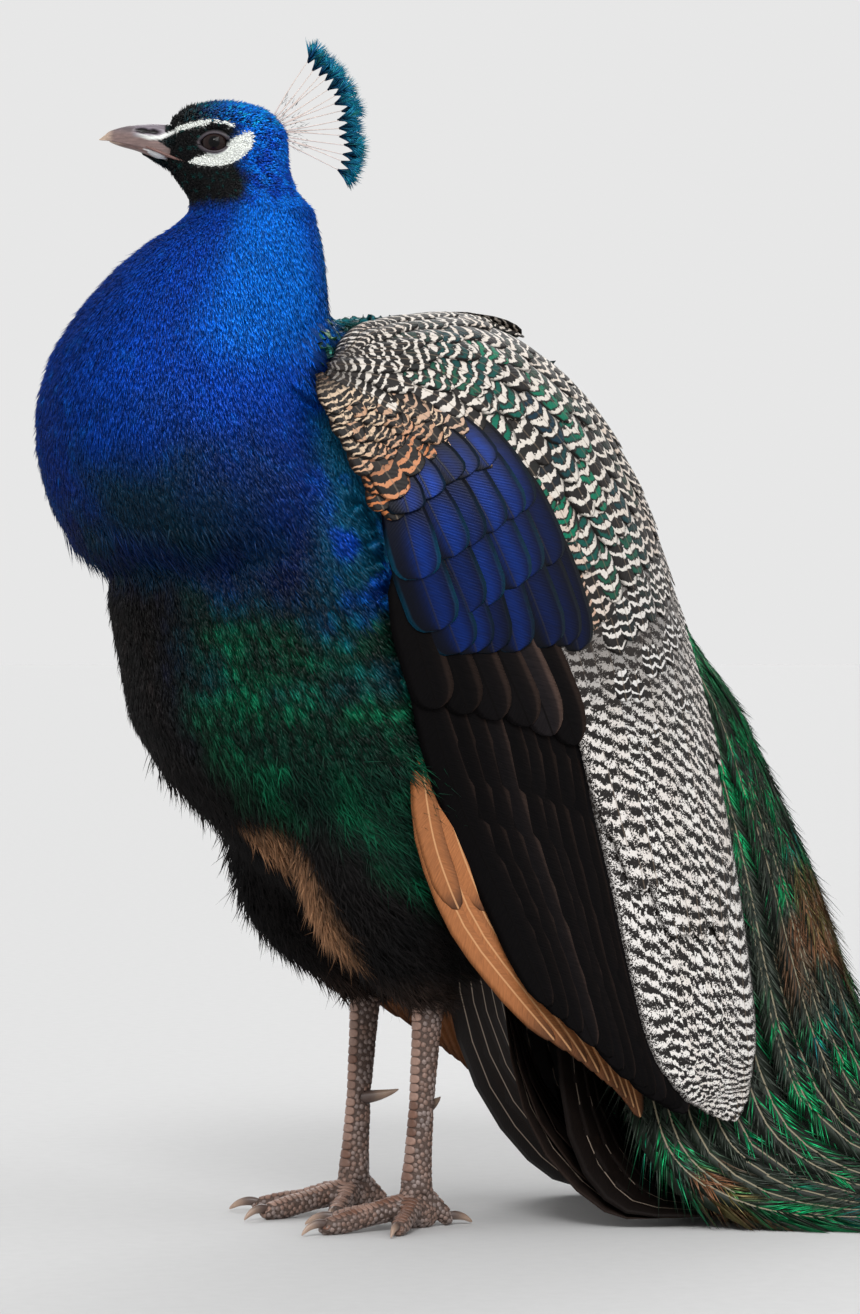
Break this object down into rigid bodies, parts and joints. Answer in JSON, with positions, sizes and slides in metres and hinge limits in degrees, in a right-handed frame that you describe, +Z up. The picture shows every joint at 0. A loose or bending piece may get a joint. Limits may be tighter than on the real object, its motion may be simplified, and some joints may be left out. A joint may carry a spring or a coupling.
{
  "type": "standing peacock",
  "caption": "Life-size standing male peafowl with drooped wings, a fan crest and a long train laid back along the ground, for display as a museum figure.",
  "frame": {"origin": "on the ground, under the middle of the whole bird's box", "axes": "+Z up, the bird's body faces -X, its left side is towards -Y"},
  "size_m": [1.527, 0.6558, 0.7008],
  "materials": {
    "neck_plumage": "iridescent blue plumage",
    "body_plumage": "green scale-like plumage",
    "barred_plumage": "cream feathers barred with black",
    "rust_plumage": "matt chestnut flight feathers",
    "brown_plumage": "matt dark brown tail feathers",
    "train_plumage": "loose bronze-green barbs",
    "thigh_plumage": "soft black fluff",
    "crest_plumage": "blue-green tips on bare shafts",
    "horn": "satin grey horn",
    "scales": "grey-brown scaled skin",
    "eye": "wet dark brown"
  },
  "bodies": {
    "root": {"head": "neck_plumage", "bill_upper": "horn", "bill_lower": "horn", "eye_left": "eye", "eye_right": "eye", "crest": "crest_plumage", "neck_upper": "neck_plumage", "neck_lower": "neck_plumage", "trunk": "body_plumage", "wing_left": "barred_plumage", "wing_right": "barred_plumage", "primaries_left": "rust_plumage", "primaries_right": "rust_plumage", "tail": "brown_plumage", "train_upper": "train_plumage", "train_middle": "train_plumage", "train_end": "train_plumage", "thigh_left": "thigh_plumage", "thigh_right": "thigh_plumage", "shank_left": "scales", "shank_right": "scales", "spur_left": "horn", "spur_right": "horn", "foot_left": "scales", "foot_right": "scales", "claw_left_inner": "horn", "claw_left_middle": "horn", "claw_left_outer": "horn", "claw_left_hind": "horn", "claw_right_inner": "horn", "claw_right_middle": "horn", "claw_right_outer": "horn", "claw_right_hind": "horn"}
  },
  "joints": []
}
